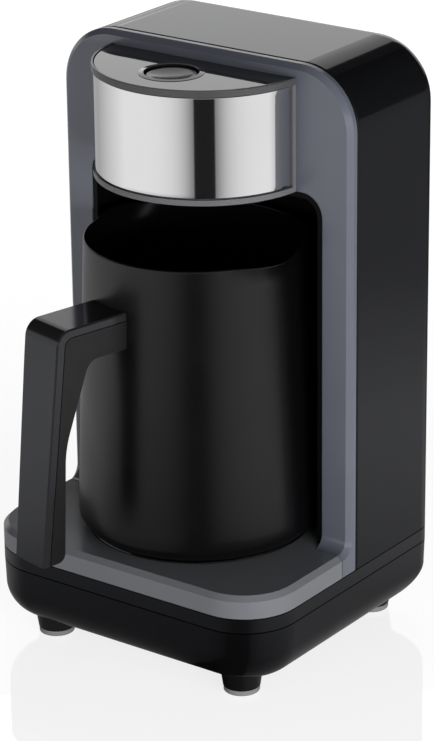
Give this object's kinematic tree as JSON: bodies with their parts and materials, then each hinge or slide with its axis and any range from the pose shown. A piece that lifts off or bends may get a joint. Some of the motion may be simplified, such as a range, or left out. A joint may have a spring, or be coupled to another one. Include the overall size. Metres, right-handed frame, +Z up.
{
  "type": "electric turkish coffee maker",
  "caption": "Compact electric coffee maker: a column with a round steel-banded head over a removable spouted pot on a heated base, with a start button on top.",
  "frame": {"origin": "on the table, under the middle of the machine with its pot handle", "axes": "+Z up, -Y towards the user, +X to the user's right"},
  "size_m": [0.136, 0.1552, 0.24],
  "materials": {
    "tray_black": "satin black moulded plastic",
    "rim_black": "satin black moulded plastic",
    "deck_grey": "smooth dark grey plastic",
    "bezel_grey": "smooth dark grey plastic",
    "shell_black": "polished black plastic",
    "cover_black": "fine-grained black plastic",
    "liner_black": "smooth black plastic",
    "head_grey": "smooth grey plastic",
    "polished_steel": "polished stainless steel",
    "plate_black": "mirror-polished black plastic",
    "button_black": "polished black plastic",
    "ring_black": "mirror-polished black plastic",
    "pot_coating": "satin black non-stick coating on steel",
    "handle_gloss": "polished black plastic",
    "handle_satin": "satin black heat-resistant plastic",
    "pad_rubber": "soft grey rubber",
    "collar_black": "matte black plastic",
    "inner_plastic": "plain black plastic",
    "heater_aluminium": "machined aluminium with a grey coating",
    "element_metal": "cast aluminium",
    "silicone": "red silicone rubber",
    "zinc_steel": "zinc-plated steel",
    "spring_steel": "bright spring steel",
    "board_green": "green glass-fibre board",
    "part_black": "black moulded component",
    "relay_blue": "blue moulded case",
    "laminations": "laminated steel and wound copper",
    "can_sleeve": "sleeved aluminium can",
    "wire_red": "silicone-sleeved wires",
    "window_smoke": "dark infrared window"
  },
  "bodies": {
    "machine": {"base_tray": "tray_black", "chassis": "rim_black", "deck_trim": "deck_grey", "deck_screws": "zinc_steel", "foot_pads": "pad_rubber", "foot_collars": "collar_black", "foot_screws": "zinc_steel", "heater_plate": "heater_aluminium", "heater_gasket": "silicone", "heating_element": "element_metal", "heater_bracket": "zinc_steel", "heater_screw": "zinc_steel", "thermostat": "part_black", "thermal_fuse": "can_sleeve", "front_bezel": "bezel_grey", "rear_shell": "shell_black", "back_cover": "cover_black", "cover_screws": "zinc_steel", "column_screws": "zinc_steel", "niche_liner": "liner_black", "liner_screws": "zinc_steel", "head_housing": "head_grey", "steel_band": "polished_steel", "head_screws": "zinc_steel", "head_floor": "inner_plastic", "sensor_window": "window_smoke", "foam_sensor": "part_black", "top_carrier": "inner_plastic", "top_plate": "plate_black", "button_ring": "ring_black", "button_spring": "spring_steel", "control_board": "board_green", "tact_switch": "part_black", "buzzer": "part_black", "board_screws": "zinc_steel", "power_board": "board_green", "power_relay": "relay_blue", "transformer": "laminations", "power_capacitor": "can_sleeve", "wire_loom": "wire_red", "loom_clips": "inner_plastic", "cord_gland": "collar_black", "gland_nut": "inner_plastic"},
    "button": {"start_button": "button_black", "button_clip": "spring_steel"},
    "pot": {"pot_body": "pot_coating", "handle_shell": "handle_gloss", "handle_core": "handle_satin", "handle_bracket": "zinc_steel", "handle_screw": "zinc_steel"}
  },
  "joints": [
    {"name": "button_press", "type": "slide", "parent": "machine", "child": "button", "axis": [0, 0, -1], "range_m": [0, 0.0013], "stiffness_N_per_m": 400, "springref_m": -0.003, "deforming": ["button_spring"]},
    {"name": "pot_slide_out", "type": "slide", "parent": "machine", "child": "pot", "axis": [0, -1, 0], "range_m": [0, 0.12]}
  ]
}
